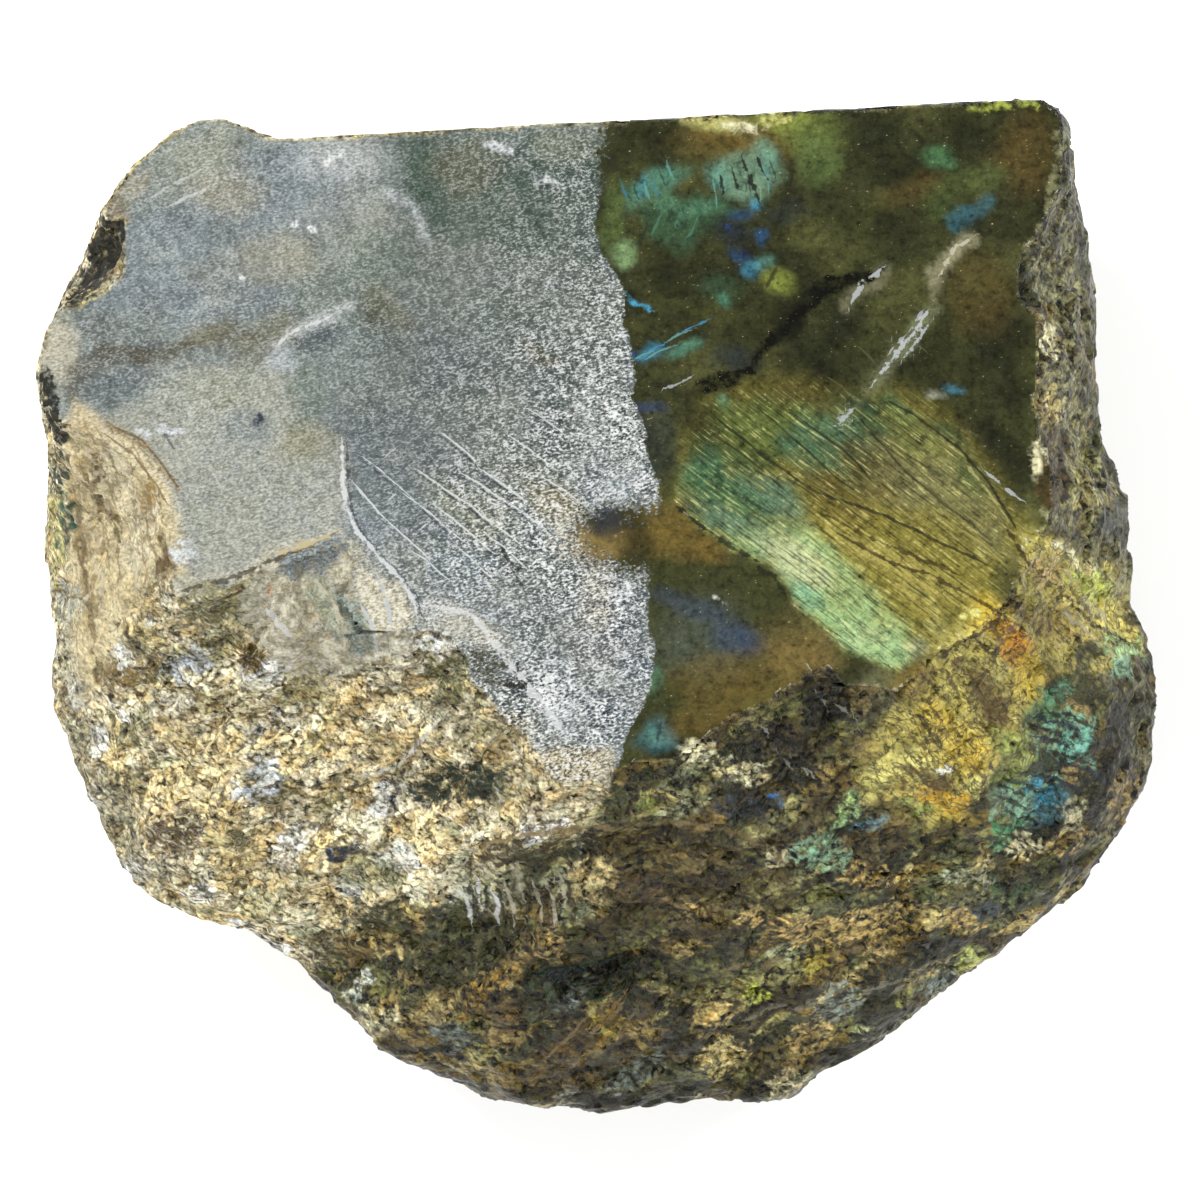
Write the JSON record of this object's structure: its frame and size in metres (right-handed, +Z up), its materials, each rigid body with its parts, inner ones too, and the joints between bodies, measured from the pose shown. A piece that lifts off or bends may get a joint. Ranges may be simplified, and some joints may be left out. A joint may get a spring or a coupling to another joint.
{
  "type": "rough labradorite chunk",
  "caption": "Broken chunk of labradorite lying on a flat break, with a large level sawn face on top, a sawn back edge and rough broken sides.",
  "frame": {"origin": "on the resting plane, under the middle of the stone's box", "axes": "+Z up, out of the level sawn face; +Y towards the straight sawn back edge; +X towards the half of the sawn face that is wet and shows colour"},
  "size_m": [0.1184, 0.1046, 0.042],
  "materials": {
    "labradorite": "sawn face half dry and dusty blue-grey, half wet and glossy with teal, blue, gold and orange flashes; broken sides granular cream, brown and dark olive"
  },
  "bodies": {
    "root": {"labradorite_chunk": "labradorite"}
  },
  "joints": []
}
